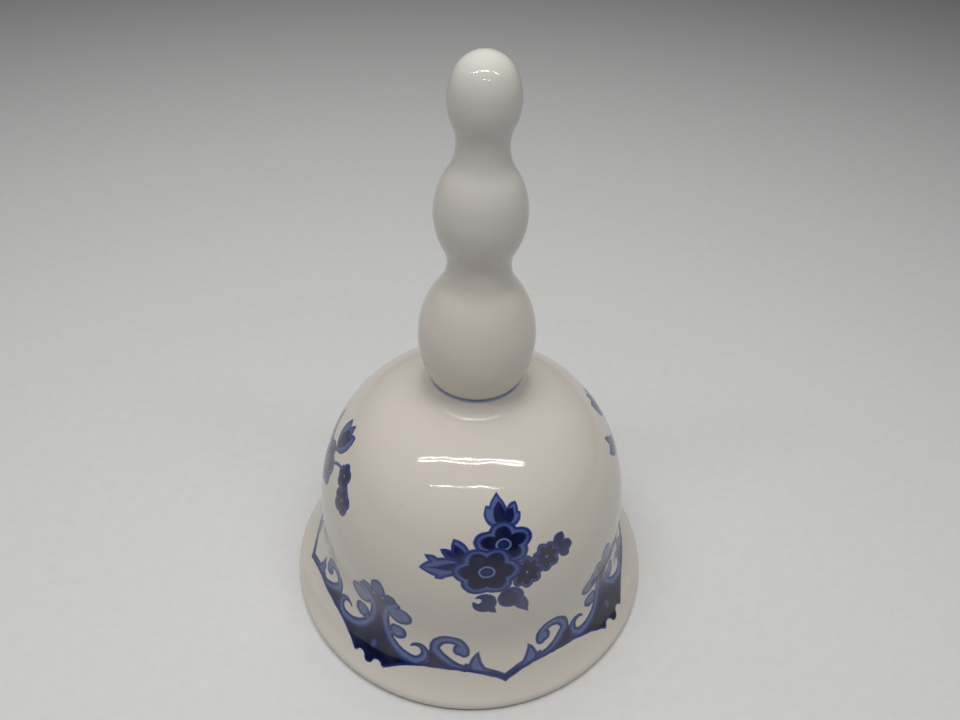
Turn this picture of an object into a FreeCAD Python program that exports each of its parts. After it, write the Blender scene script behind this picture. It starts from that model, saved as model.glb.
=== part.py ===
"""A porcelain table bell: domed body, three-bulge handle, and a ball clapper on a short chain.

Millimetres, +Z up along the bell's axis. The origin is the centre of the rim's foot, on the table.
Every turned piece is an outline in the XZ half-plane (x is the distance from the axis) spun about Z.
An angle on an outline is the tilt of the surface's outward normal above the horizontal.
"""
import FreeCAD, Part
import math
import os

Vector = FreeCAD.Vector

# --- bell body: driving dimensions -------------------------------------------------------------
RIM_RADIUS = 42.0          # widest circle, halfway up the rounded lip
LIP_RADIUS = 1.6           # rounding of the rim's outer edge
FOOT_INNER_RADIUS = 38.8   # where the inside of the flare would reach the table if it weren't rounded
FOOT_EDGE_RADIUS = 0.8     # rounding of the rim's inner edge
FLARE_TILT = 50.0          # how far the flare has turned where it meets the lip
WALL_RADIUS = 34.5         # the upright part of the wall
WALL_TILT = 25.0           # tilt where the wall's long curve hands over to the shoulder
SHOULDER_RADIUS = 29.15    # curve of the shoulder
SHOULDER_TILT = 74.4       # tilt where the shoulder meets the neck's hollow
NECK_HOLLOW_RADIUS = 4.0   # concave curve between shoulder and neck
NECK_RADIUS = 9.3          # seat of the handle
NECK_HEIGHT = 59.1
BODY_THICKNESS = 2.7
BORE_RADIUS = 4.4          # hole through the crown, under the handle

# --- handle: three bulges, top to bottom -------------------------------------------------------
BULGE_RADII = (6.1, 8.4, 11.6)
BULGE_HEIGHTS = (114.8, 94.9, 68.3)
UPPER_CURVE_RADII = (9.8, 14.2)    # the third one follows from the seat on the neck
WAIST_RADII = (8.2, 7.8)           # hollow curves between the bulges
CAP_RADIUS = 5.65                  # rounding of the handle's tip
HANDLE_THICKNESS = 2.2

# --- filling and hanger ------------------------------------------------------------------------
PLUG_TOP = 64.5
PLUG_DEPTH_BELOW_BORE = 0.6        # the filling stands this far below the crown
STAPLE_WIRE_RADIUS = 0.6
STAPLE_BEND_RADIUS = 2.4
STAPLE_EYE_HEIGHT = 48.0           # centre of the wire at the bottom of the eye
STAPLE_LEG_TOP = 61.0
STAPLE_FOOT_LENGTH = 1.6           # outward feet that anchor the legs in the filling
STAPLE_FOOT_BEND = 1.2

# --- chain and clapper -------------------------------------------------------------------------
LINK_COUNT = 3
LINK_WIRE_RADIUS = 0.5
LINK_BEND_RADIUS = 2.0             # centre line of the round ends
LINK_STRAIGHT = 3.0                # straight sides between the round ends
WIRE_GAP = 0.1                     # play between two wires that hang in each other
BALL_RADIUS = 7.0
BALL_HEIGHT = 15.0
BALL_RECESS_DEPTH = 1.0            # flat-bottomed hollow under the ball that takes the pin's head
BALL_RECESS_RADIUS = 1.9
PIN_HEAD_RADIUS = 1.7
PIN_HEAD_THICKNESS = 0.7
PIN_HEAD_ROUNDING = 0.25

Z_AXIS = Vector(0, 0, 1)
X_AXIS = Vector(1, 0, 0)
Y_AXIS = Vector(0, 1, 0)


# --- outline helpers ---------------------------------------------------------------------------
def on_circle(circle, tilt):
    """The point of a circle (x, z, radius) whose direction from the centre is tilted by tilt."""
    x, z, radius = circle
    angle = math.radians(tilt)
    return Vector(x + radius * math.cos(angle), 0, z + radius * math.sin(angle))


def arc(circle, start, end):
    return Part.Arc(on_circle(circle, start), on_circle(circle, (start + end) / 2),
                    on_circle(circle, end)).toShape()


def line(start, end):
    return Part.LineSegment(start, end).toShape()


def grown(circle, amount):
    x, z, radius = circle
    return (x, z, radius + amount)


def end_point(edge):
    return edge.valueAt(edge.LastParameter)


def start_point(edge):
    return edge.valueAt(edge.FirstParameter)


def turned(edges):
    """The solid swept by a closed outline spun about the bell's axis."""
    face = Part.Face(Part.Wire(Part.__sortEdges__(edges)))
    return face.revolve(Vector(0, 0, 0), Z_AXIS, 360)


def direction(start, end):
    """The tilt of the line between two circles' centres."""
    return math.degrees(math.atan2(end[1] - start[1], end[0] - start[0]))


# --- bell body ---------------------------------------------------------------------------------
def body_circles():
    """The circles that the outer face of the body follows, from the neck down to the lip."""
    hollow = (NECK_RADIUS + NECK_HOLLOW_RADIUS, NECK_HEIGHT, NECK_HOLLOW_RADIUS)
    shoulder_start = on_circle(hollow, SHOULDER_TILT - 180)
    tilt = math.radians(SHOULDER_TILT)
    shoulder = (shoulder_start.x - SHOULDER_RADIUS * math.cos(tilt),
                shoulder_start.z - SHOULDER_RADIUS * math.sin(tilt), SHOULDER_RADIUS)
    wall_start = on_circle(shoulder, WALL_TILT)
    tilt = math.radians(WALL_TILT)
    wall_radius = (WALL_RADIUS - wall_start.x) / (1 - math.cos(tilt))
    wall = (WALL_RADIUS - wall_radius, wall_start.z - wall_radius * math.sin(tilt), wall_radius)
    lip = (RIM_RADIUS - LIP_RADIUS, LIP_RADIUS, LIP_RADIUS)
    flare_end = on_circle(lip, FLARE_TILT)
    tilt = math.radians(FLARE_TILT)
    flare_radius = (flare_end.x - WALL_RADIUS) / (1 - math.cos(tilt))
    flare = (WALL_RADIUS + flare_radius, flare_end.z + flare_radius * math.sin(tilt), flare_radius)
    return hollow, shoulder, wall, flare, lip


def inner_flare_circle(flare_height):
    """The inside of the flare, which leaves the wall upright and thickens the body to the foot."""
    wall_inner = WALL_RADIUS - BODY_THICKNESS
    spread = FOOT_INNER_RADIUS - wall_inner
    radius = (flare_height ** 2 + spread ** 2) / (2 * spread)
    return (wall_inner + radius, flare_height, radius)


def foot_edge_circle(inner_flare):
    """The rounding that joins the inside of the flare to the flat foot."""
    x, z, radius = inner_flare
    reach = radius - FOOT_EDGE_RADIUS
    rise = z - FOOT_EDGE_RADIUS
    return (x - math.sqrt(reach ** 2 - rise ** 2), FOOT_EDGE_RADIUS, FOOT_EDGE_RADIUS)


def bell_body():
    hollow, shoulder, wall, flare, lip = body_circles()
    inner_shoulder = grown(shoulder, -BODY_THICKNESS)
    inner_wall = grown(wall, -BODY_THICKNESS)
    inner_flare = inner_flare_circle(flare[1])
    foot_edge = foot_edge_circle(inner_flare)
    foot_tilt = direction(inner_flare, foot_edge)
    crown_tilt = math.degrees(math.acos((BORE_RADIUS - inner_shoulder[0]) / inner_shoulder[2]))
    outside = [
        arc(hollow, 180, SHOULDER_TILT + 180),
        arc(shoulder, SHOULDER_TILT, WALL_TILT),
        arc(wall, WALL_TILT, 0),
        line(on_circle(wall, 0), on_circle(flare, 180)),
        arc(flare, 180, FLARE_TILT + 180),
        arc(lip, FLARE_TILT, -90),
    ]
    inside = [
        arc(foot_edge, -90, foot_tilt),
        arc(inner_flare, foot_tilt, -180),
        line(on_circle(inner_flare, 180), on_circle(inner_wall, 0)),
        arc(inner_wall, 0, WALL_TILT),
        arc(inner_shoulder, WALL_TILT, crown_tilt),
    ]
    foot = line(on_circle(lip, -90), on_circle(foot_edge, -90))
    neck_inner = Vector(BORE_RADIUS, 0, NECK_HEIGHT)
    bore = line(on_circle(inner_shoulder, crown_tilt), neck_inner)
    seat = line(neck_inner, Vector(NECK_RADIUS, 0, NECK_HEIGHT))
    return turned(outside + [foot] + inside + [bore, seat])


def crown_height():
    """Height of the inside of the dome where it meets the bore."""
    shoulder = body_circles()[1]
    x, z, radius = grown(shoulder, -BODY_THICKNESS)
    return z + math.sqrt(radius ** 2 - (BORE_RADIUS - x) ** 2)


# --- handle ------------------------------------------------------------------------------------
def bulge_circles():
    """One circle for each bulge; the lowest is chosen to meet the neck at its full radius."""
    swell = BULGE_RADII[2] - NECK_RADIUS
    drop = BULGE_HEIGHTS[2] - NECK_HEIGHT
    lowest = (swell ** 2 + drop ** 2) / (2 * swell)
    radii = UPPER_CURVE_RADII + (lowest,)
    return [(BULGE_RADII[i] - radii[i], BULGE_HEIGHTS[i], radii[i]) for i in range(3)]


def waist_circle(upper, lower, radius):
    """The hollow circle outside two bulges that touches both."""
    reach_upper = upper[2] + radius
    reach_lower = lower[2] + radius
    span = math.hypot(lower[0] - upper[0], lower[1] - upper[1])
    along = (reach_upper ** 2 - reach_lower ** 2 + span ** 2) / (2 * span)
    out = math.sqrt(reach_upper ** 2 - along ** 2)
    step_x = (lower[0] - upper[0]) / span
    step_z = (lower[1] - upper[1]) / span
    return (upper[0] + along * step_x - out * step_z, upper[1] + along * step_z + out * step_x, radius)


def cap_circle(top_bulge):
    """The rounding of the tip, centred on the axis and touching the top bulge from inside."""
    reach = top_bulge[2] - CAP_RADIUS
    return (0, top_bulge[1] + math.sqrt(reach ** 2 - top_bulge[0] ** 2), CAP_RADIUS)


def handle_face(inset):
    """The handle's side from tip to foot, moved inwards by inset, as a list of tangent arcs."""
    bulges = bulge_circles()
    cap = cap_circle(bulges[0])
    tilt = direction(bulges[0], cap)
    edges = [arc(grown(cap, -inset), 90, tilt)]
    for i, radius in enumerate(WAIST_RADII):
        waist = waist_circle(bulges[i], bulges[i + 1], radius)
        leaving = direction(bulges[i], waist)
        arriving = direction(bulges[i + 1], waist)
        edges.append(arc(grown(bulges[i], -inset), tilt, leaving))
        edges.append(arc(grown(waist, inset), leaving + 180, arriving + 180))
        tilt = arriving
    lowest = grown(bulges[2], -inset)
    foot_tilt = -math.degrees(math.asin((lowest[1] - NECK_HEIGHT) / lowest[2]))
    edges.append(arc(lowest, tilt, foot_tilt))
    return edges


def handle():
    outside = handle_face(0)
    inside = handle_face(HANDLE_THICKNESS)
    tip = line(start_point(outside[0]), start_point(inside[0]))
    foot = line(end_point(outside[-1]), end_point(inside[-1]))
    return turned(outside + inside + [tip, foot])


# --- filling, hanger, chain and clapper --------------------------------------------------------
def wire_run(start, end, radius):
    run = end - start
    return Part.makeCylinder(radius, run.Length, start, run)


def wire_bend(start, heading, centre, axis, angle, radius):
    """A round wire that leaves start along heading and bends about an axis through centre."""
    section = Part.Face(Part.Wire(Part.makeCircle(radius, start, heading)))
    return section.revolve(centre, axis, angle)


def joined(pieces):
    return pieces[0].multiFuse(pieces[1:]).removeSplitter().Solids[0]


def hanger_staple():
    """A wire eye in the XZ plane, with legs that end in outward feet inside the filling."""
    radius = STAPLE_WIRE_RADIUS
    bend_height = STAPLE_EYE_HEIGHT + STAPLE_BEND_RADIUS
    eye = wire_bend(Vector(-STAPLE_BEND_RADIUS, 0, bend_height), Z_AXIS, Vector(0, 0, bend_height),
                    Y_AXIS, -180, radius)
    pieces = [eye]
    for side in (-1, 1):
        bottom = Vector(side * STAPLE_BEND_RADIUS, 0, bend_height)
        top = Vector(bottom.x, 0, STAPLE_LEG_TOP)
        turn_centre = Vector(bottom.x + side * STAPLE_FOOT_BEND, 0, STAPLE_LEG_TOP)
        foot_start = Vector(turn_centre.x, 0, STAPLE_LEG_TOP + STAPLE_FOOT_BEND)
        pieces.append(wire_run(bottom, top, radius))
        pieces.append(wire_bend(top, Z_AXIS, turn_centre, Y_AXIS, side * 90, radius))
        pieces.append(wire_run(foot_start, foot_start + X_AXIS * side * STAPLE_FOOT_LENGTH, radius))
    return joined(pieces)


def cement_plug(staple):
    """The cast filling of the crown's bore and of the handle's foot, moulded around the staple."""
    cavity = grown(bulge_circles()[2], -HANDLE_THICKNESS)
    seat_tilt = math.degrees(math.asin((NECK_HEIGHT - cavity[1]) / cavity[2]))
    top_tilt = math.degrees(math.asin((PLUG_TOP - cavity[1]) / cavity[2]))
    bottom = crown_height() - PLUG_DEPTH_BELOW_BORE
    corners = [
        Vector(0, 0, PLUG_TOP),
        Vector(0, 0, bottom),
        Vector(BORE_RADIUS, 0, bottom),
        Vector(BORE_RADIUS, 0, NECK_HEIGHT),
        on_circle(cavity, seat_tilt),
    ]
    edges = [line(corners[i], corners[i + 1]) for i in range(len(corners) - 1)]
    edges.append(arc(cavity, seat_tilt, top_tilt))
    edges.append(line(on_circle(cavity, top_tilt), corners[0]))
    return turned(edges).cut(staple)


def link_bottom(number):
    """Height of the wire's centre at the bottom of a link; number 0 is the staple's eye."""
    if number == 0:
        return STAPLE_EYE_HEIGHT
    return link_top(number) - LINK_STRAIGHT - 2 * LINK_BEND_RADIUS


def link_top(number):
    """Height of the wire's centre at the top of a link, which rests on the wire above."""
    wire_above = STAPLE_WIRE_RADIUS if number == 1 else LINK_WIRE_RADIUS
    return link_bottom(number - 1) + wire_above + LINK_WIRE_RADIUS + WIRE_GAP


def chain_link(number):
    """An oval link. Odd links lie in the YZ plane, even ones in the XZ plane."""
    upper = Vector(0, 0, link_top(number) - LINK_BEND_RADIUS)
    lower = Vector(0, 0, link_bottom(number) + LINK_BEND_RADIUS)
    across = X_AXIS * LINK_BEND_RADIUS
    link = joined([
        wire_bend(upper - across, Z_AXIS, upper, Y_AXIS, 180, LINK_WIRE_RADIUS),
        wire_bend(lower - across, Z_AXIS, lower, Y_AXIS, -180, LINK_WIRE_RADIUS),
        wire_run(lower - across, upper - across, LINK_WIRE_RADIUS),
        wire_run(lower + across, upper + across, LINK_WIRE_RADIUS),
    ])
    if number % 2 == 1:
        link.rotate(Vector(0, 0, 0), Z_AXIS, 90)
    return link


def clapper_pin():
    """A wire pin: an eye in the last link, a stem through the ball and a head under it."""
    eye_centre = link_top(LINK_COUNT + 1) - LINK_BEND_RADIUS
    eye = Part.makeTorus(LINK_BEND_RADIUS, LINK_WIRE_RADIUS, Vector(0, 0, eye_centre), Y_AXIS)
    head_top = BALL_HEIGHT - BALL_RADIUS + BALL_RECESS_DEPTH
    stem_top = Vector(0, 0, eye_centre - LINK_BEND_RADIUS)
    stem = wire_run(Vector(0, 0, head_top - PIN_HEAD_THICKNESS / 2), stem_top, LINK_WIRE_RADIUS)
    head = Part.makeCylinder(PIN_HEAD_RADIUS, PIN_HEAD_THICKNESS,
                             Vector(0, 0, head_top - PIN_HEAD_THICKNESS))
    rims = [edge for edge in head.Edges if len(edge.Vertexes) == 1]
    head = head.makeFillet(PIN_HEAD_ROUNDING, rims)
    return joined([eye, stem, head])


def clapper_ball():
    """The ball, with a bore that fits the pin and a hollow below that hides the pin's head."""
    ball = Part.makeSphere(BALL_RADIUS, Vector(0, 0, BALL_HEIGHT))
    bottom = Vector(0, 0, BALL_HEIGHT - BALL_RADIUS)
    bore = Part.makeCylinder(LINK_WIRE_RADIUS, 2 * BALL_RADIUS, bottom)
    recess = Part.makeCylinder(BALL_RECESS_RADIUS, BALL_RECESS_DEPTH, bottom)
    return ball.cut(bore).cut(recess)


def build():
    staple = hanger_staple()
    nodes = {
        "bell_body": bell_body(),
        "handle": handle(),
        "cement_plug": cement_plug(staple),
        "hanger_staple": staple,
        "clapper_pin": clapper_pin(),
        "clapper_ball": clapper_ball(),
    }
    for number in range(1, LINK_COUNT + 1):
        nodes["chain_link_%d" % number] = chain_link(number)
    os.makedirs("parts", exist_ok=True)
    for name, shape in nodes.items():
        shape.exportStep("parts/%s.step" % name)
        print("%-16s volume %9.2f  valid %s  solids %d  z %.2f to %.2f" % (
            name, shape.Volume, shape.isValid(), len(shape.Solids),
            shape.BoundBox.ZMin, shape.BoundBox.ZMax))


build()
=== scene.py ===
"""The looks of a porcelain table bell with under-glaze cobalt painting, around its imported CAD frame.

Lengths in the named values are millimetres, unless a comment says otherwise, with +Z up along the bell's
axis. The painting is drawn on the bell's unrolled outer face: X goes round the bell, measured at
PAINT_RADIUS, and Y is the way up from the widest circle of the rim. X is 0 at the front (-Y in the frame) and
grows towards +X in the frame.
"""
import math
from collections import namedtuple

import bpy
from mathutils import Matrix, Vector


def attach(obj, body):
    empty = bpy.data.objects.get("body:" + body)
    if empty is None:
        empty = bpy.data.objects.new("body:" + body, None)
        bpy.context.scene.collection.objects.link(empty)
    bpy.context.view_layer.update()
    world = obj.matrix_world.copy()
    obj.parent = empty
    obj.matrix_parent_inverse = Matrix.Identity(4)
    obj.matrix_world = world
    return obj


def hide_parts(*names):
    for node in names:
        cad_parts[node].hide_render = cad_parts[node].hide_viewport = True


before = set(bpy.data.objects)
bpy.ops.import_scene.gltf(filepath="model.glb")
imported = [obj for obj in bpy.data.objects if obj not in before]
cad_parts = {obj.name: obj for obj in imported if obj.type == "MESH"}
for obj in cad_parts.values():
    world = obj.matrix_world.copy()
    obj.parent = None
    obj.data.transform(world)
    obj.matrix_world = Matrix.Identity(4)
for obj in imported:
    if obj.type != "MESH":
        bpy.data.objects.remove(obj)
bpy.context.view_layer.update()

MM = 0.001

# --- outlines, as in the CAD model ---------------------------------------------------------------
RIM_RADIUS = 42.0
LIP_RADIUS = 1.6
FOOT_INNER_RADIUS = 38.8
FOOT_EDGE_RADIUS = 0.8
FLARE_TILT = 50.0
WALL_RADIUS = 34.5
WALL_TILT = 25.0
SHOULDER_RADIUS = 29.15
SHOULDER_TILT = 74.4
NECK_HOLLOW_RADIUS = 4.0
NECK_RADIUS = 9.3
NECK_HEIGHT = 59.1
BODY_THICKNESS = 2.7
BORE_RADIUS = 4.4
BULGE_RADII = (6.1, 8.4, 11.6)
BULGE_HEIGHTS = (114.8, 94.9, 68.3)
UPPER_CURVE_RADII = (9.8, 14.2)
WAIST_RADII = (8.2, 7.8)
CAP_RADIUS = 5.65
HANDLE_THICKNESS = 2.2

# --- the turned meshes ---------------------------------------------------------------------------
ROW_SPACING = 1.0           # along an outline's curves, where nothing else is said
INNER_SPACING = 1.5
LIP_SPACING = 0.3
NECK_SPACING = 0.35
FOOT_SPACING = 0.5
FOOT_EDGE_SPACING = 0.25
HANDLE_SPACING = 0.8
HANDLE_INNER_SPACING = 1.6
AXIS_REACH = 1e-6           # a point this near to the axis lies on it
BODY_COLUMNS = 144
HANDLE_COLUMNS = 96
PATTERN_LAYER = "painting"
PAINT_RADIUS = 35.0
UNPAINTED = -20.0           # the painting's Y on faces that carry none

# --- the painting --------------------------------------------------------------------------------
REPEATS = 4
PERIOD = 2 * math.pi * PAINT_RADIUS / REPEATS
HALF_PERIOD = PERIOD / 2
SPRAY_ANGLE = 12.6          # degrees round the bell from the front to the middle of a spray
SPRAY_X = math.radians(SPRAY_ANGLE) * PAINT_RADIUS
SPRAY_DROP = 0.5            # the sprays lie this far below the heights that they are drawn at
BLEED = 0.50                # how softly the cobalt's edges run into the glaze
HAND_WOBBLE = 0.22          # how far the painter's line strays
OUTLINE = 0.55              # width of a painted contour

# how much cobalt lies on the glaze, from 0 to 1
PALE = 0.34
SOFT = 0.52
LINE = 0.74
DARK = 0.93
# what that much cobalt looks like
COBALT_STEPS = (
    (0.00, (0.690, 0.638, 0.572)),
    (0.16, (0.390, 0.425, 0.560)),
    (0.34, (0.100, 0.150, 0.325)),
    (0.54, (0.046, 0.075, 0.235)),
    (0.74, (0.018, 0.029, 0.150)),
    (0.88, (0.007, 0.011, 0.080)),
    (1.00, (0.003, 0.005, 0.028)),
)

# --- glaze and other finishes --------------------------------------------------------------------
WARM_GLAZE = (0.64, 0.56, 0.47)
COOL_GLAZE = (0.640, 0.640, 0.610)      # near the handle's tip
COOL_FROM = 70.0                        # the handle's glaze cools between these two heights
COOL_TO = 115.0
SPECK_COLOUR = (0.30, 0.24, 0.18)
BARE_CLAY = (0.58, 0.53, 0.46)
BARE_CLAY_ROUGHNESS = 0.65
GLAZE_IOR = 1.52
FOOT_GLAZE_START = 0.25                 # the foot ring is unglazed below this height
FOOT_GLAZE_END = 0.55                   # and fully glazed above this one
BALL_TONES = ((0.3, (0.62, 0.57, 0.51)), (0.7, (0.70, 0.65, 0.60)))
PLASTER_TONES = ((0.25, (0.52, 0.49, 0.44)), (0.75, (0.74, 0.71, 0.66)))
WIRE_TONES = ((0.3, (0.62, 0.60, 0.57)), (0.62, (0.50, 0.47, 0.43)), (0.8, (0.36, 0.31, 0.27)))
FLOOR_TONES = ((0.3, (0.69, 0.688, 0.685)), (0.7, (0.72, 0.718, 0.715)))
# bump heights, in metres
GLAZE_RELIEF = 0.00010
PLASTER_RELIEF = 0.00012
WIRE_RELIEF = 0.00002


# --- numbers that vary over a surface ------------------------------------------------------------
class Field:
    """A number or a point that varies over a surface: the output of a shader node, with arithmetic."""

    def __init__(self, socket):
        self.socket = socket

    def __add__(self, other):
        return calculate("ADD", self, other)

    def __radd__(self, other):
        return calculate("ADD", other, self)

    def __sub__(self, other):
        return calculate("SUBTRACT", self, other)

    def __rsub__(self, other):
        return calculate("SUBTRACT", other, self)

    def __mul__(self, other):
        return calculate("MULTIPLY", self, other)

    def __rmul__(self, other):
        return calculate("MULTIPLY", other, self)

    def __abs__(self):
        return calculate("ABSOLUTE", self)


def tree_of(*values):
    return next(value.socket.id_data for value in values if isinstance(value, Field))


def feed(tree, socket, value):
    if isinstance(value, Field):
        tree.links.new(value.socket, socket)
    else:
        socket.default_value = value


def calculate(operation, *values):
    tree = tree_of(*values)
    node = tree.nodes.new("ShaderNodeMath")
    node.operation = operation
    for socket, value in zip(node.inputs, values):
        feed(tree, socket, value)
    return Field(node.outputs["Value"])


def least(first, *others):
    for other in others:
        first = calculate("MINIMUM", first, other)
    return first


def most(first, *others):
    for other in others:
        first = calculate("MAXIMUM", first, other)
    return first


def scaled(value, factor, offset):
    return calculate("MULTIPLY_ADD", value, factor, offset)


def between(value, low, high):
    """0 where value is at low, 1 at high, and a soft step between them."""
    tree = tree_of(value)
    node = tree.nodes.new("ShaderNodeMapRange")
    node.interpolation_type = "SMOOTHSTEP"
    feed(tree, node.inputs["Value"], value)
    node.inputs["From Min"].default_value = low
    node.inputs["From Max"].default_value = high
    return Field(node.outputs["Result"])


def share(value, low, high):
    """0 where value is at low, 1 at high, evenly between them and held outside."""
    tree = tree_of(value)
    node = tree.nodes.new("ShaderNodeMapRange")
    feed(tree, node.inputs["Value"], value)
    node.inputs["From Min"].default_value = low
    node.inputs["From Max"].default_value = high
    return Field(node.outputs["Result"])


def mixed(first, second, amount):
    """first where amount is 0, second where it is 1."""
    tree = tree_of(first, second, amount)
    node = tree.nodes.new("ShaderNodeMix")
    for name, value in (("Factor", amount), ("A", first), ("B", second)):
        feed(tree, node.inputs[name], value)
    return Field(node.outputs["Result"])


# --- places on the unrolled face -----------------------------------------------------------------
def point(x, y):
    tree = tree_of(x, y)
    node = tree.nodes.new("ShaderNodeCombineXYZ")
    feed(tree, node.inputs["X"], x)
    feed(tree, node.inputs["Y"], y)
    return Field(node.outputs["Vector"])


def parts(spot):
    tree = tree_of(spot)
    node = tree.nodes.new("ShaderNodeSeparateXYZ")
    feed(tree, node.inputs["Vector"], spot)
    return Field(node.outputs["X"]), Field(node.outputs["Y"])


def placed(spot, x, y, turn=0.0, width=1.0, height=1.0):
    """spot as seen from (x, y), with the X axis turned by turn degrees and both axes measured anew."""
    tree = tree_of(spot)
    node = tree.nodes.new("ShaderNodeMapping")
    node.vector_type = "TEXTURE"
    feed(tree, node.inputs["Vector"], spot)
    node.inputs["Location"].default_value = (x, y, 0)
    node.inputs["Rotation"].default_value = (0, 0, math.radians(turn))
    node.inputs["Scale"].default_value = (width, height, 1)
    return Field(node.outputs["Vector"])


def vector_sum(operation, *values):
    tree = tree_of(*values)
    node = tree.nodes.new("ShaderNodeVectorMath")
    node.operation = operation
    for socket, value in zip(node.inputs, values):
        feed(tree, socket, value)
    answer = "Value" if operation in ("LENGTH", "DISTANCE") else "Vector"
    return Field(node.outputs[answer])


def length(spot):
    return vector_sum("LENGTH", spot)


def noise(spot, size, detail=2.0, roughness=0.5, lift=0.0):
    """Cloudy noise around 0.5 whose blotches are about size across; lift picks another cloud."""
    tree = tree_of(spot)
    node = tree.nodes.new("ShaderNodeTexNoise")
    node.noise_dimensions = "3D"
    moved = vector_sum("ADD", spot, (0.0, 0.0, lift)) if lift else spot
    feed(tree, node.inputs["Vector"], moved)
    node.inputs["Scale"].default_value = 1 / size
    node.inputs["Detail"].default_value = detail
    node.inputs["Roughness"].default_value = roughness
    return Field(node.outputs["Fac"])


# --- brush shapes: each is negative inside and grows by about 1 per millimetre outside ------------
def oval(spot, x, y, half_width, half_height, turn=0.0):
    local = placed(spot, x, y, turn, half_width, half_height)
    reach = math.sqrt(half_width * half_height)
    return scaled(length(local), reach, -reach)


def disc(spot, x, y, radius):
    return oval(spot, x, y, radius, radius)


def stroke(spot, x, y, start, sweep, radii, halves):
    """A stroke of the brush along an arc or spiral about (x, y), from the angle start through sweep degrees.

    Its centre line goes from the first radius to the second, and its half width from the first to the
    second, late in the stroke, as when a brush lifts.
    """
    turned_about = placed(spot, x, y, start, 1.0, math.copysign(1.0, sweep))
    across, up = parts(turned_about)
    whole = math.radians(abs(sweep))
    spare = math.pi - whole / 2
    angle = calculate("WRAP", calculate("ARCTAN2", up, across), whole + spare, -spare)
    along = share(angle, 0.0, whole)
    heading = along * whole
    radius = radii[0] if radii[0] == radii[1] else scaled(along, radii[1] - radii[0], radii[0])
    rib = point(calculate("COSINE", heading) * radius, calculate("SINE", heading) * radius)
    off_rib = vector_sum("DISTANCE", turned_about, rib)
    if halves[0] == halves[1]:
        return off_rib - halves[0]
    return off_rib - scaled(along * along, halves[1] - halves[0], halves[0])


def leaf(spot, base, tip, half_width, belly=1.0):
    """A leaf from base to tip; a belly above 1 lies nearer to the base."""
    run = (tip[0] - base[0], tip[1] - base[1])
    turn = math.degrees(math.atan2(run[1], run[0]))
    along, across = parts(placed(spot, base[0], base[1], turn, math.hypot(*run), half_width))
    left = calculate("POWER", calculate("MAXIMUM", 1.0 - along, 0.0), belly)
    fullest = 1 / (1 + belly)
    peak = fullest * (1 - fullest) ** belly
    side = (abs(across) - along * left * (1 / peak)) * half_width
    return most(side, scaled(along, math.hypot(*run), -math.hypot(*run)))


def rosette(spot, x, y, width, height, petals, turn=0.0):
    """What the petals of a round flower are drawn with: the distance from its centre and the petals' swell.

    The swell is 1 along the middle of each petal and 0 between two petals.
    """
    local = placed(spot, x, y, 0.0, width, height)
    across, up = parts(local)
    phase = scaled(calculate("ARCTAN2", up, across), petals / 2, -math.radians(turn) * petals / 2)
    return length(local), abs(calculate("COSINE", phase))


def petals_to(flower, notch, tip):
    """A rosette's outline, which runs from notch between the petals to tip at their ends."""
    distance, swell = flower
    return distance - scaled(swell, tip - notch, notch)


# --- laying on cobalt ----------------------------------------------------------------------------
def painted(cobalt, shape, amount, bleed=BLEED):
    return mixed(cobalt, amount, between(shape, bleed / 2, -bleed / 2))


def contoured(cobalt, shape, fill, line=LINE, width=OUTLINE):
    """A shape with a dark contour inside its edge and a paler fill."""
    edged = painted(cobalt, shape, line)
    return painted(edged, shape + width, fill)


def washed(shape, centre, edge, depth):
    """A fill that pools darker towards the edge of shape."""
    return mixed(edge, centre, share(shape, 0.0, -depth))


# --- the border of cartouches and scrolls --------------------------------------------------------
ARCH_TOP = 8.2              # the dark line under the scrolls rises to this height
ARCH_CENTRE = 16.5
ARCH_HALF = 11.1
ARCH_DROP = 2.6
ARCH_POWER = 2.6
STEM = (9.3, 16.4, 7.9)     # the circle that the cartouche's stem follows
BRANCH = (20.6, 17.3, 8.7)  # the circle that the scroll's branch follows
CARTOUCHE_SIDE = 12.3       # the dark ground's reaches, in the cartouche and in the wedge beside it
CARTOUCHE_TOP = 22.6
WEDGE_SIDES = (12.0, 21.3)
WEDGE_TOP = 12.0
GROUND_FOOT = 4.3
SILL_START = 3.4
SILL_TURN = 20.0            # from here on the sill grows wider and the thorn's band narrower
BAND_START = 19.5


def outside(spot, circle):
    x, y, radius = circle
    return radius - length(placed(spot, x, y))


def border_ground(spot, x, y, arch):
    """The dark ground: the middle of the cartouche and the wedge between its stem and the scroll."""
    cartouche = most(outside(spot, STEM), x - CARTOUCHE_SIDE, y - CARTOUCHE_TOP)
    wedge = most(outside(spot, BRANCH), WEDGE_SIDES[0] - x, x - WEDGE_SIDES[1], y - WEDGE_TOP)
    ground = most(least(cartouche, wedge), arch - y, GROUND_FOOT - y)
    notched = most(ground, outside(spot, (2.0, 4.1, 1.0)))
    return least(notched, disc(spot, 0.0, 4.5, 1.0))


def border_scrolls(spot):
    stem = stroke(spot, STEM[0], STEM[1], 128, 145, (STEM[2], STEM[2]), (1.05, 1.10))
    hook = stroke(spot, 9.3, 10.75, -97, 240, (2.2, 1.65), (1.10, 0.12))
    head = oval(spot, 5.1, 19.45, 2.9, 2.7)
    lower_head = oval(spot, 4.75, 14.05, 2.05, 1.85)
    bridge = least(disc(spot, 3.2, 12.9, 1.0), disc(spot, 3.3, 20.3, 1.9))
    roll = stroke(spot, 16.2, 12.8, -8, 202, (3.05, 3.05), (1.12, 1.12))
    roll_end = disc(spot, 18.4, 13.2, 1.5)
    branch = stroke(spot, BRANCH[0], BRANCH[1], 211, 60, (BRANCH[2], BRANCH[2]), (1.12, 0.40))
    return least(stem, hook, head, lower_head, bridge, roll, roll_end, branch)


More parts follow.
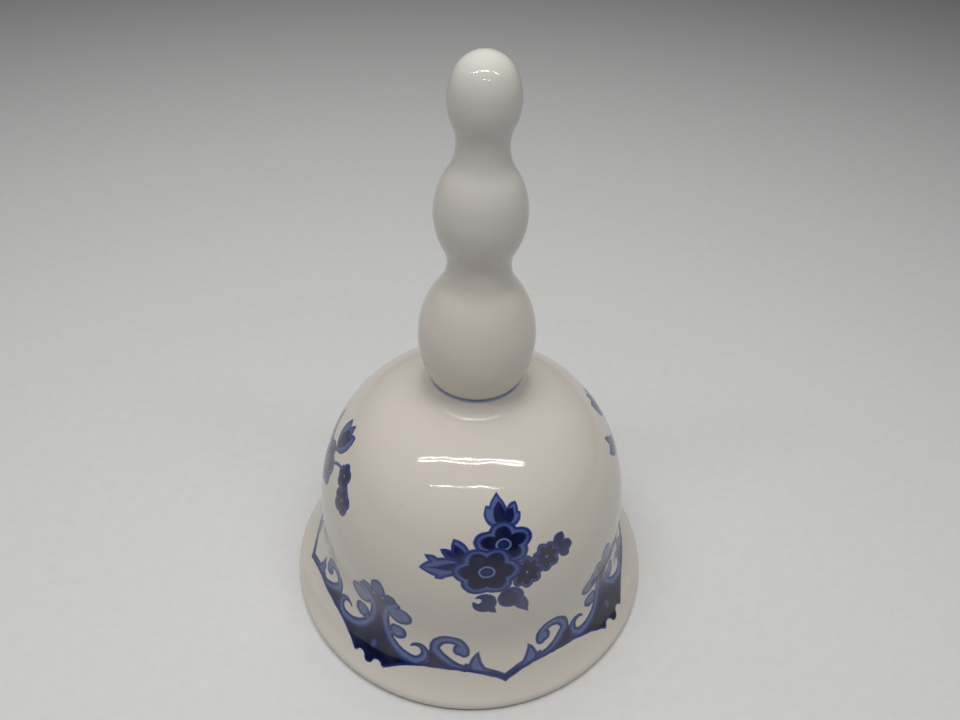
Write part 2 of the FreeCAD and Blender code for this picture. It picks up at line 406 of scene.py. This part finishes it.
def border_thorn(spot, x, y, arch):
    """A thorn on a thin band that runs along the sill to the point between two cartouches."""
    hollow = outside(spot, (30.5, 13.2, 8.2))
    blade = outside(spot, (24.7, 9.0, 4.35)) * -1.0
    half_width = scaled(share(x, SILL_TURN, HALF_PERIOD), -0.45, 0.85)
    band = most(abs(y - (arch + 0.75)) - half_width, BAND_START - x)
    return least(most(hollow, blade, arch - y), band)


def border(cobalt, x, y, grain):
    spot = point(calculate("PINGPONG", x - (SPRAY_X - HALF_PERIOD), HALF_PERIOD), y)
    x, y = parts(spot)
    bend = abs(scaled(x, 1 / ARCH_HALF, -ARCH_CENTRE / ARCH_HALF))
    arch = scaled(calculate("POWER", bend, ARCH_POWER), -ARCH_DROP, ARCH_TOP)
    ground_shape = border_ground(spot, x, y, arch)
    ground_depth = scaled(grain, 0.08, 0.95) - share(y, 7.0, 22.0) * 0.16
    cobalt = painted(cobalt, ground_shape, ground_depth)
    drop = oval(spot, 0.0, 7.9, 0.62, 1.0)
    cobalt = painted(cobalt, drop, SOFT + 0.08, 0.6)
    half_width = scaled(share(x, SILL_TURN, HALF_PERIOD), 0.34, 0.32)
    sill = most(abs(y - (arch + 0.18)) - half_width, SILL_START - x)
    cobalt = painted(cobalt, sill, LINE + 0.06)
    for lobe in (oval(spot, 2.95, 23.1, 1.6, 2.0, -12), oval(spot, 0.0, 25.2, 1.85, 2.6)):
        fade = mixed(PALE + 0.08, 0.72, share(y, 24.6, 22.4))
        cobalt = contoured(cobalt, lobe, fade, LINE, 0.5)
    thorn = border_thorn(spot, x, y, arch)
    cobalt = contoured(cobalt, thorn, PALE + 0.04)
    scrolls = border_scrolls(spot)
    fill = washed(scrolls, PALE, PALE + 0.17, 1.1) + scaled(grain, 0.12, -0.06)
    return contoured(cobalt, scrolls, fill)


# --- the sprays of flowers -----------------------------------------------------------------------
RING_HALF_WIDTH = 0.24      # the pale ring round a flower's eye
RING_TO_EYE = 0.5
DOT_RADIUS = 0.24           # the light dot in a small flower
DOT_COBALT = 0.10

# distances from a flower's centre: the ring's as it is drawn, the others before they are stretched
FlowerSizes = namedtuple("FlowerSizes", "border_notch border_tip petal_notch petal_tip ring")


def flower(cobalt, spot, x, y, width, height, petals, turn, sizes):
    """An open flower: a pale scalloped border, dark petals, and a pale ring round a dark eye."""
    shape = rosette(spot, x, y, width, height, petals, turn)
    stretch = math.sqrt(width * height)
    border_shape = petals_to(shape, sizes.border_notch, sizes.border_tip) * stretch
    petal_shape = petals_to(shape, sizes.petal_notch, sizes.petal_tip) * stretch
    distance = shape[0] * stretch
    border_fill = washed(border_shape, PALE + 0.04, PALE + 0.26, 1.1)
    cobalt = contoured(cobalt, border_shape, border_fill, LINE, 0.62)
    cobalt = painted(cobalt, petal_shape, LINE, 0.8)
    cobalt = painted(cobalt, petal_shape + 0.35, DARK + 0.04)
    cobalt = painted(cobalt, abs(distance - sizes.ring) - RING_HALF_WIDTH, PALE - 0.04, 0.34)
    return painted(cobalt, distance - (sizes.ring - RING_TO_EYE), DARK - 0.12, 0.4)


def floret(cobalt, spot, x, y, radius, petals, turn):
    """A small flower: a scalloped border, dark petals and a light dot."""
    shape = rosette(spot, x, y, 1.0, 1.0, petals, turn)
    rim = petals_to(shape, radius * 0.84, radius)
    cobalt = contoured(cobalt, rim, washed(rim, PALE + 0.10, PALE + 0.26, 0.8))
    cobalt = painted(cobalt, petals_to(shape, radius * 0.56, radius * 0.80), DARK + 0.04)
    return painted(cobalt, shape[0] - DOT_RADIUS, DOT_COBALT, 0.5)


def two_tone_leaf(cobalt, shape, vein, fill=SOFT - 0.06):
    """A contoured leaf with a darker vein or heart."""
    cobalt = contoured(cobalt, shape, washed(shape, fill - 0.06, fill + 0.12, 0.9))
    return painted(cobalt, vein, DARK - 0.06)


def bottom_leaves(cobalt, spot):
    curl = least(oval(spot, -4.4, 29.2, 2.4, 2.6), leaf(spot, (-4.6, 28.9), (-2.0, 26.3), 0.9))
    bay = least(disc(spot, -5.7, 29.9, 0.75), leaf(spot, (-5.4, 29.6), (-8.2, 31.2), 0.7))
    cobalt = painted(cobalt, most(curl, bay * -1.0), DARK - 0.13)
    big = least(oval(spot, 1.0, 30.1, 2.7, 2.7), leaf(spot, (1.8, 31.0), (4.8, 24.4), 1.4, 1.5))
    return two_tone_leaf(cobalt, big, oval(spot, 0.6, 30.0, 1.7, 2.1, 30), LINE)


def left_leaves(cobalt, spot):
    lower = least(
        leaf(spot, (-7.6, 38.8), (-18.4, 36.6), 2.2),
        leaf(spot, (-13.0, 38.0), (-17.4, 39.7), 0.9),
        leaf(spot, (-12.0, 37.0), (-14.8, 34.9), 0.9),
    )
    vein = leaf(spot, (-8.6, 38.5), (-17.0, 37.0), 0.75, 2.0)
    cobalt = two_tone_leaf(cobalt, lower, vein)
    upper = least(
        leaf(spot, (-7.4, 37.4), (-11.5, 43.9), 2.0, 0.9),
        leaf(spot, (-9.5, 39.6), (-14.2, 41.5), 1.0),
    )
    heart = least(leaf(spot, (-7.8, 38.0), (-11.3, 42.9), 1.2), leaf(spot, (-9.6, 39.8), (-13.2, 41.1), 0.5))
    return two_tone_leaf(cobalt, upper, heart)


def right_bud(cobalt, spot):
    bud = least(
        leaf(spot, (10.8, 38.2), (14.0, 41.3), 1.4, 0.7),
        leaf(spot, (11.4, 38.6), (16.0, 37.8), 1.5, 0.7),
        leaf(spot, (12.2, 39.0), (14.7, 35.8), 1.2, 0.7),
    )
    cobalt = contoured(cobalt, bud, DARK - 0.08, LINE - 0.08, 0.3)
    return painted(cobalt, disc(spot, 13.6, 39.4, 0.18), SOFT, 0.5)


def top_bud(cobalt, spot):
    husk = least(
        leaf(spot, (-1.2, 45.0), (-0.95, 52.9), 2.5, 1.1),
        leaf(spot, (-1.4, 46.0), (-4.1, 50.4), 1.5, 0.8),
        leaf(spot, (0.2, 45.8), (3.9, 50.6), 1.6, 0.8),
        leaf(spot, (0.4, 46.2), (4.6, 48.4), 1.3, 0.8),
    )
    core = least(
        leaf(spot, (-0.8, 46.4), (-0.6, 51.2), 1.5, 1.1),
        leaf(spot, (0.4, 46.6), (2.9, 49.6), 1.2),
        oval(spot, 0.4, 47.6, 2.2, 0.9),
    )
    cobalt = contoured(cobalt, husk, washed(husk, PALE + 0.04, PALE + 0.20, 1.1), LINE - 0.06)
    return painted(cobalt, core, DARK, 0.6)


def open_spray(cobalt, spot):
    """Two open flowers, with leaves to the left, florets and a bud to the right and a bud on top."""
    cobalt = bottom_leaves(cobalt, spot)
    cobalt = left_leaves(cobalt, spot)
    cobalt = right_bud(cobalt, spot)
    cobalt = floret(cobalt, spot, 9.2, 37.6, 3.4, 7, 10)
    cobalt = floret(cobalt, spot, 4.5, 35.6, 3.8, 8, 0)
    cobalt = top_bud(cobalt, spot)
    cobalt = flower(cobalt, spot, -0.2, 42.7, 1.5, 1.0, 5, 90, FlowerSizes(3.7, 4.6, 2.3, 3.75, 1.3))
    return flower(cobalt, spot, -4.0, 37.1, 1.45, 1.1, 6, 0, FlowerSizes(4.25, 5.05, 3.05, 4.2, 1.35))


def trailing_spray(cobalt, spot):
    """A tulip on top, an open flower under it, and florets that trail to the right on a thin stem."""
    stems = least(
        stroke(spot, 8.6, 36.8, 160, -150, (7.4, 6.6), (0.30, 0.22)),
        stroke(spot, 9.0, 45.0, 185, 50, (9.0, 9.0), (0.35, 0.25)),
    )
    cobalt = painted(cobalt, stems, LINE)
    lower = least(leaf(spot, (-2.0, 36.0), (-9.5, 29.5), 2.0), leaf(spot, (-4.0, 34.6), (-10.8, 34.0), 1.0))
    cobalt = two_tone_leaf(cobalt, lower, leaf(spot, (-2.6, 35.6), (-8.6, 30.4), 0.7, 2.0))
    side = least(leaf(spot, (-4.0, 40.0), (-14.6, 43.6), 2.0), leaf(spot, (-8.0, 41.0), (-12.2, 46.4), 1.1))
    cobalt = two_tone_leaf(cobalt, side, leaf(spot, (-5.0, 40.4), (-13.4, 43.2), 0.7, 2.0))
    cobalt = floret(cobalt, spot, 9.8, 43.4, 2.9, 5, 30)
    cobalt = floret(cobalt, spot, 12.6, 39.0, 3.2, 5, 90)
    tulip = least(
        leaf(spot, (0.6, 43.6), (-3.2, 50.4), 2.1, 0.8),
        leaf(spot, (0.6, 43.6), (4.8, 50.2), 2.2, 0.8),
        leaf(spot, (0.6, 43.0), (0.9, 51.2), 2.3, 0.9),
    )
    cobalt = contoured(cobalt, tulip, washed(tulip, PALE + 0.08, PALE + 0.22, 1.1), LINE - 0.06)
    heart = least(oval(spot, 0.6, 46.9, 2.0, 2.3), leaf(spot, (0.6, 44.4), (3.2, 49.2), 1.0))
    cobalt = painted(cobalt, heart, DARK, 0.6)
    return flower(cobalt, spot, -1.4, 38.6, 1.35, 1.1, 6, 30, FlowerSizes(3.9, 4.6, 2.8, 3.85, 1.25))


def sprays(cobalt, x, y):
    """The two kinds of spray, by turns round the bell."""
    for number, kind in enumerate((open_spray, trailing_spray)):
        middle = SPRAY_X + number * PERIOD
        cobalt = kind(cobalt, point(calculate("WRAP", x - middle, PERIOD, -PERIOD), y + SPRAY_DROP))
    return cobalt


# --- porcelain -----------------------------------------------------------------------------------
def new_material(name):
    material = bpy.data.materials.new(name)
    material.use_nodes = True
    return material


def shader_of(material):
    return material.node_tree.nodes["Principled BSDF"]


def surface_point(material):
    """The place on the piece, in millimetres."""
    tree = material.node_tree
    coordinates = tree.nodes.new("ShaderNodeTexCoord")
    return vector_sum("MULTIPLY", Field(coordinates.outputs["Object"]), (1 / MM, 1 / MM, 1 / MM))


def height_of(spot):
    tree = tree_of(spot)
    node = tree.nodes.new("ShaderNodeSeparateXYZ")
    feed(tree, node.inputs["Vector"], spot)
    return Field(node.outputs["Z"])


def colour_steps(value, steps):
    tree = tree_of(value)
    node = tree.nodes.new("ShaderNodeValToRGB")
    feed(tree, node.inputs["Fac"], value)
    ramp = node.color_ramp
    while len(ramp.elements) < len(steps):
        ramp.elements.new(1.0)
    for element, (place, colour) in zip(ramp.elements, steps):
        element.position = place
        element.color = (*colour, 1.0)
    return Field(node.outputs["Color"])


def tinted(colour, tint, amount):
    """colour, moved towards tint by amount."""
    tree = tree_of(colour, amount)
    node = tree.nodes.new("ShaderNodeMix")
    node.data_type = "RGBA"
    feed(tree, node.inputs["Factor"], amount)
    feed(tree, node.inputs[6], colour)
    feed(tree, node.inputs[7], (*tint, 1.0))
    return Field(node.outputs[2])


def bump(material, height, distance):
    tree = material.node_tree
    node = tree.nodes.new("ShaderNodeBump")
    feed(tree, node.inputs["Height"], height)
    node.inputs["Distance"].default_value = distance
    node.inputs["Strength"].default_value = 1.0
    tree.links.new(node.outputs["Normal"], shader_of(material).inputs["Normal"])


def glaze(material, colour, spot, unglazed=0.0):
    """A clear hard glaze, slightly uneven in thickness, and matt fired clay where there is none."""
    tree = material.node_tree
    shader = shader_of(material)
    cloud = noise(spot, 14.0, 2.0)
    warm = tinted(colour, WARM_GLAZE, share(cloud, 0.45, 0.85) * 0.16)
    speck = between(noise(spot, 0.55, 0.0, 0.5, 40.0), 0.84, 0.90) * 0.30
    specked = tinted(warm, SPECK_COLOUR, speck)
    feed(tree, shader.inputs["Base Color"], tinted(specked, BARE_CLAY, unglazed))
    smear = scaled(noise(spot, 5.0, 3.0, 0.6, 9.0), 0.05, 0.018)
    feed(tree, shader.inputs["Roughness"], mixed(smear, BARE_CLAY_ROUGHNESS, unglazed))
    shader.inputs["IOR"].default_value = GLAZE_IOR
    ripple = noise(spot, 6.0, 1.0, 0.4, 21.0) + noise(spot, 1.4, 1.0, 0.5, 33.0) * 0.06
    grit = noise(spot, 0.25, 3.0, 0.7) * unglazed
    bump(material, ripple + grit, GLAZE_RELIEF)


def painting_spot(material):
    """The place on the painting, as unroll stores it."""
    tree = material.node_tree
    node = tree.nodes.new("ShaderNodeUVMap")
    node.uv_map = PATTERN_LAYER
    return Field(node.outputs["UV"])


def painted_porcelain():
    material = new_material("painted_porcelain")
    spot = surface_point(material)
    drawn = painting_spot(material)
    strayed_x = scaled(noise(drawn, 2.2, 1.0, 0.5, 3.0), HAND_WOBBLE * 2, -HAND_WOBBLE)
    strayed_y = scaled(noise(drawn, 2.2, 1.0, 0.5, 17.0), HAND_WOBBLE * 2, -HAND_WOBBLE)
    x, y = parts(vector_sum("ADD", drawn, point(strayed_x, strayed_y)))
    grain = noise(drawn, 1.5, 3.0, 0.65, 5.0)
    cobalt = border(0.0, x, y, grain)
    cobalt = sprays(cobalt, x, y)
    up = height_of(spot)
    cobalt = painted(cobalt, (NECK_HEIGHT - 0.65) - up, scaled(grain, 0.14, 0.15), 0.7)
    brushed = cobalt * scaled(grain, 0.20, 0.90)
    colour = colour_steps(brushed, COBALT_STEPS)
    glaze(material, colour, spot, between(up, FOOT_GLAZE_END, FOOT_GLAZE_START))
    return material


def white_porcelain():
    """The handle: plain glaze, with the rest of the blue line round its foot."""
    material = new_material("white_porcelain")
    spot = surface_point(material)
    up = height_of(spot)
    grain = noise(spot, 1.5, 3.0, 0.65, 5.0)
    cobalt = painted(0.0, up - (NECK_HEIGHT + 0.30), scaled(grain, 0.14, 0.15), 0.6)
    colour = tinted(colour_steps(cobalt, COBALT_STEPS), COOL_GLAZE, share(up, COOL_FROM, COOL_TO) * 0.6)
    glaze(material, colour, spot, between(up, NECK_HEIGHT + 0.02, NECK_HEIGHT))
    return material


def ball_porcelain():
    material = new_material("ball_porcelain")
    spot = surface_point(material)
    cloud = noise(spot, 6.0, 2.0, 0.5, 12.0)
    glaze(material, colour_steps(cloud, BALL_TONES), spot)
    return material


def plaster():
    material = new_material("plaster")
    shader = shader_of(material)
    spot = surface_point(material)
    grain = noise(spot, 0.9, 5.0, 0.7)
    feed(material.node_tree, shader.inputs["Base Color"], colour_steps(grain, PLASTER_TONES))
    feed(material.node_tree, shader.inputs["Roughness"], scaled(grain, 0.2, 0.72))
    pits = between(noise(spot, 0.5, 1.0, 0.5, 8.0), 0.62, 0.70)
    bump(material, grain - pits * 0.5, PLASTER_RELIEF)
    return material


def drawn_wire():
    material = new_material("wire")
    shader = shader_of(material)
    spot = surface_point(material)
    stretched = vector_sum("MULTIPLY", spot, (1.0, 1.0, 0.12))
    streaks = noise(stretched, 0.10, 2.0, 0.6)
    tarnish = noise(spot, 2.4, 3.0, 0.6, 15.0)
    feed(material.node_tree, shader.inputs["Base Color"], colour_steps(tarnish, WIRE_TONES))
    roughness = streaks * 0.18 + share(tarnish, 0.4, 0.8) * 0.25 + 0.16
    feed(material.node_tree, shader.inputs["Roughness"], roughness)
    shader.inputs["Metallic"].default_value = 1.0
    bump(material, streaks, WIRE_RELIEF)
    return material


# --- turned meshes -------------------------------------------------------------------------------
def on_circle(circle, tilt):
    """The point (distance from the axis, height) of a circle at a tilt from its centre."""
    x, z, radius = circle
    angle = math.radians(tilt)
    return (x + radius * math.cos(angle), z + radius * math.sin(angle))


def arc_points(circle, start, end, spacing=ROW_SPACING):
    """Evenly spaced points along an arc, without its last one."""
    run = abs(math.radians(end - start)) * circle[2]
    steps = max(3, math.ceil(run / spacing))
    return [on_circle(circle, start + (end - start) * i / steps) for i in range(steps)]


def line_points(start, end, spacing=ROW_SPACING):
    """Evenly spaced points along a straight line, without its last one."""
    steps = max(1, math.ceil(math.dist(start, end) / spacing))
    return [(start[0] + (end[0] - start[0]) * i / steps, start[1] + (end[1] - start[1]) * i / steps)
            for i in range(steps)]


def grown(circle, amount):
    x, z, radius = circle
    return (x, z, radius + amount)


def direction(start, end):
    return math.degrees(math.atan2(end[1] - start[1], end[0] - start[0]))


def body_circles():
    """The circles that the outer face of the body follows, from the neck down to the lip."""
    hollow = (NECK_RADIUS + NECK_HOLLOW_RADIUS, NECK_HEIGHT, NECK_HOLLOW_RADIUS)
    shoulder_start = on_circle(hollow, SHOULDER_TILT - 180)
    back = on_circle((0, 0, SHOULDER_RADIUS), SHOULDER_TILT)
    shoulder = (shoulder_start[0] - back[0], shoulder_start[1] - back[1], SHOULDER_RADIUS)
    wall_start = on_circle(shoulder, WALL_TILT)
    wall_tilt = math.radians(WALL_TILT)
    wall_radius = (WALL_RADIUS - wall_start[0]) / (1 - math.cos(wall_tilt))
    wall = (WALL_RADIUS - wall_radius, wall_start[1] - wall_radius * math.sin(wall_tilt), wall_radius)
    lip = (RIM_RADIUS - LIP_RADIUS, LIP_RADIUS, LIP_RADIUS)
    flare_end = on_circle(lip, FLARE_TILT)
    flare_tilt = math.radians(FLARE_TILT)
    flare_radius = (flare_end[0] - WALL_RADIUS) / (1 - math.cos(flare_tilt))
    flare = (WALL_RADIUS + flare_radius, flare_end[1] + flare_radius * math.sin(flare_tilt), flare_radius)
    return hollow, shoulder, wall, flare, lip


def inner_flare_circles(flare_height):
    """The inside of the flare, and the rounding that joins it to the flat foot."""
    wall_inner = WALL_RADIUS - BODY_THICKNESS
    spread = FOOT_INNER_RADIUS - wall_inner
    radius = (flare_height ** 2 + spread ** 2) / (2 * spread)
    flare = (wall_inner + radius, flare_height, radius)
    reach = radius - FOOT_EDGE_RADIUS
    rise = flare_height - FOOT_EDGE_RADIUS
    return flare, (flare[0] - math.sqrt(reach ** 2 - rise ** 2), FOOT_EDGE_RADIUS, FOOT_EDGE_RADIUS)


def body_outline():
    """The body's outline in two runs: from the rim's widest circle up the outside, and down the inside."""
    hollow, shoulder, wall, flare, lip = body_circles()
    inner_shoulder = grown(shoulder, -BODY_THICKNESS)
    inner_wall = grown(wall, -BODY_THICKNESS)
    inner_flare, foot_edge = inner_flare_circles(flare[1])
    foot_tilt = direction(inner_flare, foot_edge)
    crown_tilt = math.degrees(math.acos((BORE_RADIUS - inner_shoulder[0]) / inner_shoulder[2]))
    outside_points = (
        arc_points(lip, 0, FLARE_TILT, LIP_SPACING)
        + arc_points(flare, 180 + FLARE_TILT, 180)
        + line_points(on_circle(flare, 180), on_circle(wall, 0))
        + arc_points(wall, 0, WALL_TILT)
        + arc_points(shoulder, WALL_TILT, SHOULDER_TILT)
        + arc_points(hollow, SHOULDER_TILT + 180, 180, NECK_SPACING)
    )
    neck_inner = (BORE_RADIUS, NECK_HEIGHT)
    inside_points = (
        line_points((NECK_RADIUS, NECK_HEIGHT), neck_inner)
        + line_points(neck_inner, on_circle(inner_shoulder, crown_tilt))
        + arc_points(inner_shoulder, crown_tilt, WALL_TILT, INNER_SPACING)
        + arc_points(inner_wall, WALL_TILT, 0, INNER_SPACING)
        + line_points(on_circle(inner_wall, 0), on_circle(inner_flare, 180), INNER_SPACING)
        + arc_points(inner_flare, -180, foot_tilt)
        + arc_points(foot_edge, foot_tilt, -90, FOOT_EDGE_SPACING)
        + line_points(on_circle(foot_edge, -90), on_circle(lip, -90), FOOT_SPACING)
        + arc_points(lip, -90, 0, LIP_SPACING)
    )
    return outside_points, inside_points


def bulge_circles():
    swell = BULGE_RADII[2] - NECK_RADIUS
    drop = BULGE_HEIGHTS[2] - NECK_HEIGHT
    radii = UPPER_CURVE_RADII + ((swell ** 2 + drop ** 2) / (2 * swell),)
    return [(BULGE_RADII[i] - radii[i], BULGE_HEIGHTS[i], radii[i]) for i in range(3)]


def waist_circle(upper, lower, radius):
    """The hollow circle outside two bulges that touches both."""
    reach_upper = upper[2] + radius
    reach_lower = lower[2] + radius
    span = math.dist(upper[:2], lower[:2])
    along = (reach_upper ** 2 - reach_lower ** 2 + span ** 2) / (2 * span)
    out = math.sqrt(reach_upper ** 2 - along ** 2)
    step_x = (lower[0] - upper[0]) / span
    step_z = (lower[1] - upper[1]) / span
    return (upper[0] + along * step_x - out * step_z, upper[1] + along * step_z + out * step_x, radius)


def handle_side(inset, spacing):
    """The handle's side from tip to foot, moved inwards by inset."""
    bulges = bulge_circles()
    reach = bulges[0][2] - CAP_RADIUS
    cap = (0, bulges[0][1] + math.sqrt(reach ** 2 - bulges[0][0] ** 2), CAP_RADIUS)
    tilt = direction(bulges[0], cap)
    points = arc_points(grown(cap, -inset), 90, tilt, spacing)
    for i, radius in enumerate(WAIST_RADII):
        waist = waist_circle(bulges[i], bulges[i + 1], radius)
        leaving = direction(bulges[i], waist)
        arriving = direction(bulges[i + 1], waist)
        points += arc_points(grown(bulges[i], -inset), tilt, leaving, spacing)
        points += arc_points(grown(waist, inset), leaving + 180, arriving + 180, spacing)
        tilt = arriving
    lowest = grown(bulges[2], -inset)
    foot_tilt = -math.degrees(math.asin((lowest[1] - NECK_HEIGHT) / lowest[2]))
    return points + arc_points(lowest, tilt, foot_tilt, spacing) + [on_circle(lowest, foot_tilt)]


def turned_mesh(name, outline, columns, closed):
    """Quads swept by an outline round the Z axis, with a single vertex where the outline meets the axis.

    A closed outline is a ring of points; an open one starts and ends on the axis.
    """
    vertices = []
    rows = []
    for x, z in outline:
        if x < AXIS_REACH:
            rows.append([len(vertices)] * columns)
            vertices.append((0.0, 0.0, z * MM))
            continue
        rows.append([len(vertices) + i for i in range(columns)])
        for i in range(columns):
            angle = 2 * math.pi * i / columns
            vertices.append((x * MM * math.sin(angle), -x * MM * math.cos(angle), z * MM))
    pairs = list(zip(rows, rows[1:] + rows[:1])) if closed else list(zip(rows, rows[1:]))
    faces = []
    for upper, lower in pairs:
        for i in range(columns):
            j = (i + 1) % columns
            corners = [upper[i], upper[j], lower[j], lower[i]]
            faces.append([corner for k, corner in enumerate(corners) if corner not in corners[:k]])
    mesh = bpy.data.meshes.new(name)
    mesh.from_pydata(vertices, [], faces)
    mesh.validate()
    mesh.polygons.foreach_set("use_smooth", [True] * len(mesh.polygons))
    piece = bpy.data.objects.new(name, mesh)
    bpy.context.scene.collection.objects.link(piece)
    return piece


def unroll(piece, outside_points):
    """Stores the painting's X and Y on the outer face, corner by corner, so that no seam is blurred."""
    mesh = piece.data
    travel = [0.0]
    for start, end in zip(outside_points, outside_points[1:]):
        travel.append(travel[-1] + math.dist(start, end))
    layer = mesh.uv_layers.new(name=PATTERN_LAYER)
    for face in mesh.polygons:
        column = face.index % BODY_COLUMNS
        for loop in face.loop_indices:
            vertex = mesh.loops[loop].vertex_index
            row = vertex // BODY_COLUMNS
            turn = vertex % BODY_COLUMNS
            if column == BODY_COLUMNS - 1 and turn == 0:
                turn = BODY_COLUMNS
            x = 2 * math.pi * PAINT_RADIUS * turn / BODY_COLUMNS
            y = travel[row] if row < len(travel) else UNPAINTED
            layer.data[loop].uv = (x, y)


def bell_body():
    outside_points, inside_points = body_outline()
    piece = turned_mesh("bell_body_shell", outside_points + inside_points, BODY_COLUMNS, True)
    unroll(piece, outside_points)
    piece.data.materials.append(painted_porcelain())
    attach(piece, "bell")
    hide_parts("bell_body")


def handle():
    outside_points = handle_side(0, HANDLE_SPACING)
    inside_points = handle_side(HANDLE_THICKNESS, HANDLE_INNER_SPACING)
    outline = inside_points + outside_points[::-1]
    piece = turned_mesh("handle_shell", outline, HANDLE_COLUMNS, False)
    piece.data.materials.append(white_porcelain())
    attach(piece, "bell")
    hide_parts("handle")


def finish_cad_nodes():
    wire = drawn_wire()
    finishes = {"cement_plug": plaster(), "clapper_ball": ball_porcelain(), "hanger_staple": wire,
                "clapper_pin": wire, "chain_link_1": wire, "chain_link_2": wire, "chain_link_3": wire}
    for name, material in finishes.items():
        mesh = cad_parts[name].data
        mesh.materials.clear()
        mesh.materials.append(material)


# --- studio --------------------------------------------------------------------------------------
CAMERA_PLACE = (0.0, -117.75, 159.22)
CAMERA_PITCH = 39.654       # degrees below the horizon
CAMERA_YAW = 0.388          # degrees towards +X
CAMERA_ROLL = 2.108
CAMERA_LENS = 28.45
CAMERA_SENSOR = 36.0
# from here on lengths are metres, and power is in watts
CAMERA_CLIP = 0.01
FLOOR_HALF = 3.0
KEY_PLACE = (-0.03, 0.05, 0.52)
KEY_AIM = (-0.01, 0, 0.03)
KEY_SIZE = 0.50
KEY_POWER = 1.66
KEY_COLOUR = (1.0, 0.99, 0.975)
ROOM_COLOUR = (0.95, 0.97, 1.0, 1.0)
ROOM_STRENGTH = 0.06
STRIP_HEIGHT = 0.42
STRIP_LAMPS = 34            # in each row
STRIP_ROW_GAP = 0.020

Strip = namedtuple("Strip", "name y left right rows lamp_size power")
STRIPS = (
    Strip("strip_near", y=-0.32, left=-0.26, right=0.19, rows=1, lamp_size=0.005, power=0.15),
    Strip("strip_far", y=-0.13, left=-0.30, right=0.28, rows=2, lamp_size=0.0065, power=0.68),
)


def make_camera():
    pitch = math.radians(CAMERA_PITCH)
    yaw = math.radians(CAMERA_YAW)
    ahead = Vector((math.sin(yaw) * math.cos(pitch), math.cos(yaw) * math.cos(pitch), -math.sin(pitch)))
    level = Vector((math.cos(yaw), -math.sin(yaw), 0))
    upright = level.cross(ahead)
    roll = math.radians(CAMERA_ROLL)
    right = level * math.cos(roll) + upright * math.sin(roll)
    up = upright * math.cos(roll) - level * math.sin(roll)
    camera = bpy.data.objects.new("camera", bpy.data.cameras.new("camera"))
    camera.data.sensor_width = CAMERA_SENSOR
    camera.data.lens = CAMERA_LENS
    camera.data.clip_start = CAMERA_CLIP
    place = Matrix((right, up, -ahead)).transposed().to_4x4()
    place.translation = Vector(CAMERA_PLACE) * MM
    camera.matrix_world = place
    bpy.context.scene.collection.objects.link(camera)
    bpy.context.scene.camera = camera


def make_floor():
    mesh = bpy.data.meshes.new("floor")
    corners = [(x * FLOOR_HALF, y * FLOOR_HALF, 0) for x, y in ((-1, -1), (1, -1), (1, 1), (-1, 1))]
    mesh.from_pydata(corners, [], [(0, 1, 2, 3)])
    floor = bpy.data.objects.new("floor", mesh)
    bpy.context.scene.collection.objects.link(floor)
    material = new_material("floor")
    shader = shader_of(material)
    spot = surface_point(material)
    mottle = noise(spot, 3.0, 4.0, 0.6)
    feed(material.node_tree, shader.inputs["Base Color"], colour_steps(mottle, FLOOR_TONES))
    shader.inputs["Roughness"].default_value = 0.8
    shader.inputs["Specular IOR Level"].default_value = 0.2
    mesh.materials.append(material)


def area_light(name, place, aim, size, power, colour=(1.0, 1.0, 1.0), mirrored=True):
    """A square lamp at place, turned towards aim. An unmirrored one lights the glaze but isn't seen in it."""
    data = bpy.data.lights.new(name, "AREA")
    data.shape = "RECTANGLE"
    data.size = size
    data.size_y = size
    data.energy = power
    data.color = colour
    light = bpy.data.objects.new(name, data)
    light.location = place
    light.rotation_euler = (Vector(aim) - Vector(place)).to_track_quat("-Z", "Y").to_euler()
    light.visible_glossy = mirrored
    bpy.context.scene.collection.objects.link(light)


def strip_light(strip):
    """Rows of small lamps, which the glaze mirrors as a beaded line. The second row is set half a step on."""
    step = (strip.right - strip.left) / STRIP_LAMPS
    lamp_power = strip.power / STRIP_LAMPS / strip.rows
    for row in range(strip.rows):
        row_y = strip.y + (row - (strip.rows - 1) / 2) * STRIP_ROW_GAP
        for i in range(STRIP_LAMPS):
            x = strip.left + (i + 0.25 + row * 0.5) * step
            name = "%s_%d_%d" % (strip.name, row, i)
            area_light(name, (x, row_y, STRIP_HEIGHT), (x, strip.y / 2, 0), strip.lamp_size, lamp_power)


def make_lights():
    area_light("soft_key", KEY_PLACE, KEY_AIM, KEY_SIZE, KEY_POWER, KEY_COLOUR, mirrored=False)
    for strip in STRIPS:
        strip_light(strip)
    world = bpy.data.worlds.new("studio")
    world.use_nodes = True
    background = world.node_tree.nodes["Background"]
    background.inputs["Color"].default_value = ROOM_COLOUR
    background.inputs["Strength"].default_value = ROOM_STRENGTH
    bpy.context.scene.world = world
    bpy.context.scene.view_settings.view_transform = "Standard"


bell_body()
handle()
finish_cad_nodes()
make_floor()
make_lights()
make_camera()
